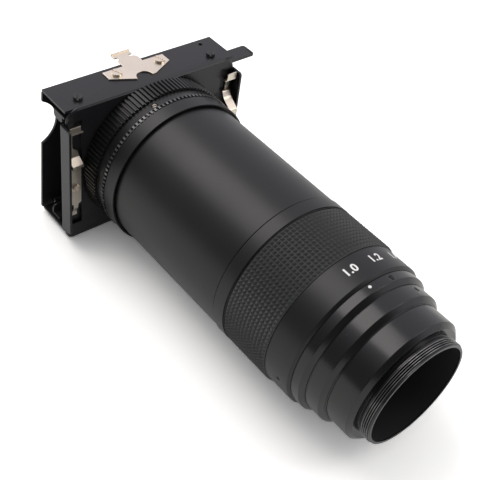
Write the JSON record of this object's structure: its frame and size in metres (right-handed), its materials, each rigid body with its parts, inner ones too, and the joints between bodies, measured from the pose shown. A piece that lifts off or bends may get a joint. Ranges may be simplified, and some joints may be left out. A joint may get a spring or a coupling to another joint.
{
  "type": "slide duplicator",
  "caption": "Zoom slide duplicator: a round barrel with a screw mount and a ribbed zoom ring, and a sheet-metal slide stage that turns, rises and shifts sideways.",
  "frame": {"origin": "centre of the camera mount's mouth, on the optical axis", "axes": "+Y along the optical axis from the mouth to the slide stage, +Z towards the stage's top flange, +X towards the sideways handle"},
  "size_m": [0.0899, 0.1679, 0.0631],
  "materials": {
    "black_anodised": "satin black anodised",
    "black_inner": "matt black",
    "black_sheet": "satin black enamel",
    "black_screw": "blackened steel",
    "white_mark": "white filling",
    "grip_rubber": "dull rubber",
    "nickel": "nickel plated",
    "nickel_screw": "nickel plated",
    "brass": "turned",
    "lens_glass": "coated",
    "opal": "opal"
  },
  "bodies": {
    "barrel": {"camera_mount_sleeve": "black_anodised", "front_ring": "black_anodised", "index_ring": "black_anodised", "index_dot": "white_mark", "ring_grub_screws": "black_screw", "inner_barrel": "black_inner", "grip_stop_ring": "black_anodised", "main_tube": "black_anodised", "rear_collar": "black_anodised", "stage_retaining_ring": "black_inner"},
    "zoom_ring": {"zoom_ring": "black_anodised", "rubber_grip": "grip_rubber", "cam_sleeve": "black_inner", "zoom_ring_grub_screws": "black_screw"},
    "front_lens_group": {"front_lens_cell": "black_inner", "front_lens_elements": "lens_glass", "front_lens_retainers": "black_inner", "front_cam_followers": "brass"},
    "rear_lens_group": {"rear_lens_cell": "black_inner", "rear_lens_element": "lens_glass", "rear_lens_retainer": "black_inner", "rear_cam_followers": "brass"},
    "stage_turn": {"stage_ring": "black_anodised", "stage_set_screws": "black_screw", "stage_hub": "black_inner", "base_plate": "black_sheet", "base_plate_screws": "black_screw"},
    "stage_housing": {"stage_housing": "black_sheet", "bottom_shelf": "black_sheet", "left_leaf_spring": "nickel", "right_leaf_spring": "nickel", "leaf_spring_screws": "nickel_screw", "top_clip": "nickel", "top_clip_screws": "nickel_screw", "guide_screws": "black_screw", "guide_spacers": "black_screw", "guide_nuts": "black_screw", "door_hinge_pins": "black_screw"},
    "shift_slide": {"shift_slide": "black_sheet"},
    "back_door": {"back_door": "black_sheet", "opal_diffuser": "opal", "diffuser_frame": "black_sheet"}
  },
  "joints": [
    {"name": "zoom_turn", "type": "hinge", "parent": "barrel", "child": "zoom_ring", "pos_m": [0, 0.044, 0], "axis": [0, -1, 0], "range_deg": [0, 132]},
    {"name": "front_lens_travel", "type": "slide", "parent": "barrel", "child": "front_lens_group", "axis": [0, 1, 0], "range_m": [0, 0.01]},
    {"name": "rear_lens_travel", "type": "slide", "parent": "barrel", "child": "rear_lens_group", "axis": [0, 1, 0], "range_m": [0, 0.004]},
    {"name": "stage_turn", "type": "hinge", "parent": "barrel", "child": "stage_turn", "pos_m": [0, 0.138, 0], "axis": [0, 1, 0], "continuous": true},
    {"name": "stage_rise", "type": "slide", "parent": "stage_turn", "child": "stage_housing", "axis": [0, 0, 1], "range_m": [-0.0016, 0.0024]},
    {"name": "sideways_shift", "type": "slide", "parent": "stage_housing", "child": "shift_slide", "axis": [1, 0, 0], "range_m": [-0.005, 0.005]},
    {"name": "door_hinge", "type": "hinge", "parent": "stage_housing", "child": "back_door", "pos_m": [0, 0.1646, -0.0284], "axis": [-1, 0, 0], "range_deg": [0, 90]}
  ],
  "couplings": [
    {"joint": "front_lens_travel", "follows": "zoom_turn", "m_per_rad": 0.0043405},
    {"joint": "rear_lens_travel", "follows": "zoom_turn", "m_per_rad": 0.0017362}
  ]
}
